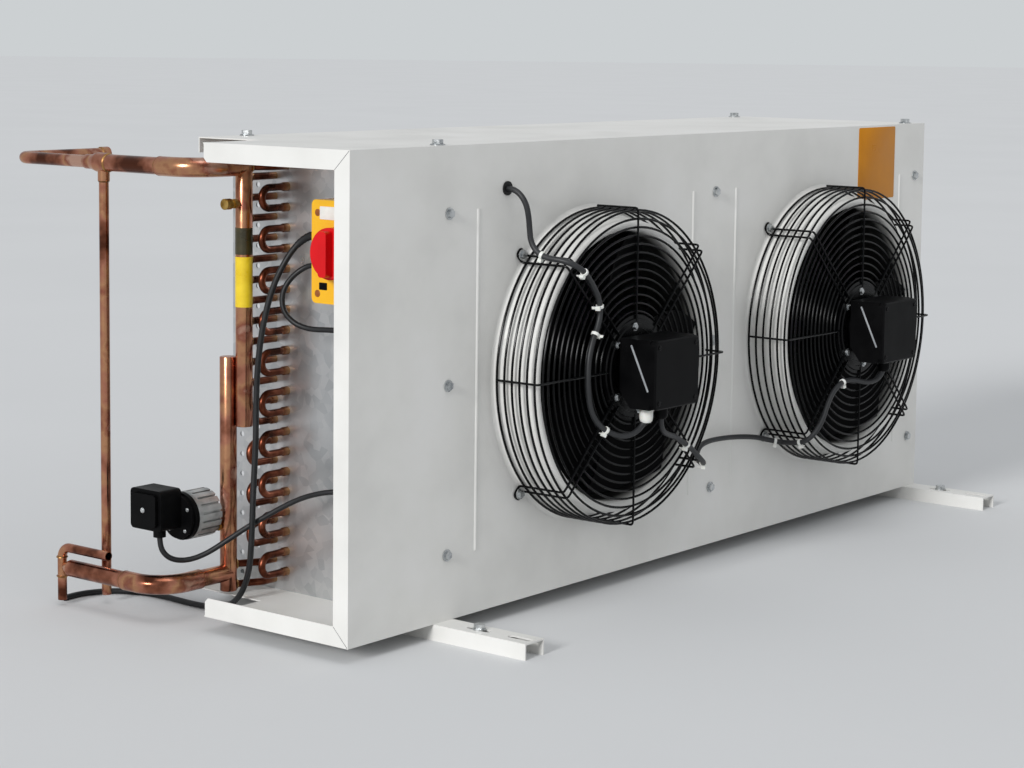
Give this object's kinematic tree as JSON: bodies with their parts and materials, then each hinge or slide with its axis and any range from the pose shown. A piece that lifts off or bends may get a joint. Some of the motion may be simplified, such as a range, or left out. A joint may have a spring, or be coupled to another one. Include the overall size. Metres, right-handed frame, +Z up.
{
  "type": "air-cooled condenser",
  "caption": "Box-shaped remote condenser with a finned copper coil, axial fans behind wire guards, open service end with headers, isolating switch and controller, on two slotted rails.",
  "frame": {"origin": "middle of the rigid parts' footprint, on the plane the rails stand on", "axes": "+X from the open service end to the closed end, +Y from the fan panel to the back, +Z up"},
  "size_m": [1.4084, 0.7614, 0.6175],
  "materials": {
    "black_paint": "satin",
    "black_plastic": "matte",
    "black_wire": "gloss",
    "brass": "satin",
    "cable_rubber": "matte",
    "cast_aluminium": "satin",
    "copper": "tarnished",
    "fan_cable_rubber": "matte",
    "fin_aluminium": "satin",
    "galvanised": "spangled",
    "grey_plastic": "matte",
    "grommet_rubber": "matte",
    "powder_coat": "satin",
    "red_plastic": "gloss",
    "white_plastic": "matte",
    "yellow_plastic": "gloss",
    "zinc": "satin"
  },
  "bodies": {
    "casing": {"front_panel": "powder_coat", "fan_nozzles": "powder_coat", "top_panel": "powder_coat", "bottom_plate": "powder_coat", "right_end_cover": "powder_coat", "left_end_plate": "galvanised", "right_end_plate": "galvanised", "centre_partition": "galvanised", "coil_fins": "fin_aluminium", "left_return_bends": "copper", "right_return_bends": "copper", "upper_header": "copper", "lower_header": "copper", "upper_feeders": "copper", "lower_feeders": "copper", "inlet_branch": "copper", "inlet_elbow": "copper", "inlet_pipe": "copper", "inlet_tail": "copper", "drop_pipe": "copper", "outlet_branch": "copper", "outlet_elbow": "copper", "outlet_pipe": "copper", "outlet_tail": "copper", "service_valve": "brass", "service_valve_cap": "brass", "controller_stub": "brass", "controller_body": "cast_aluminium", "controller_cover": "black_plastic", "controller_plug": "black_plastic", "switch_base": "yellow_plastic", "switch_cover": "yellow_plastic", "junction_box": "grey_plastic", "cable_glands": "white_plastic", "grommets": "grommet_rubber", "cable_ties": "white_plastic", "left_rail": "powder_coat", "right_rail": "powder_coat", "rail_bolts": "zinc", "top_bolts": "zinc", "panel_screws": "zinc", "guard_screws": "zinc", "supply_cable": "cable_rubber", "switch_lead": "cable_rubber", "controller_lead": "cable_rubber", "fan_1_cable": "fan_cable_rubber", "fan_2_cable": "fan_cable_rubber", "fan_1_guard": "black_wire", "fan_1_stator": "black_paint", "fan_1_terminal_box": "black_plastic", "fan_1_terminal_lid": "black_plastic", "fan_2_guard": "black_wire", "fan_2_stator": "black_paint", "fan_2_terminal_box": "black_plastic", "fan_2_terminal_lid": "black_plastic"},
    "fan_1_wheel": {"fan_1_rotor": "black_paint", "fan_1_impeller": "black_plastic"},
    "fan_2_wheel": {"fan_2_rotor": "black_paint", "fan_2_impeller": "black_plastic"},
    "switch_handle": {"switch_knob": "red_plastic"}
  },
  "joints": [
    {"name": "fan_1_spin", "type": "hinge", "parent": "casing", "child": "fan_1_wheel", "pos_m": [-0.1958, -0.2667, 0.3139], "axis": [0, 1, 0], "continuous": true},
    {"name": "fan_2_spin", "type": "hinge", "parent": "casing", "child": "fan_2_wheel", "pos_m": [0.3892, -0.2667, 0.3139], "axis": [0, 1, 0], "continuous": true},
    {"name": "switch_turn", "type": "hinge", "parent": "casing", "child": "switch_handle", "pos_m": [-0.5748, -0.1307, 0.4774], "axis": [1, 0, 0], "range_deg": [0, 90]}
  ]
}
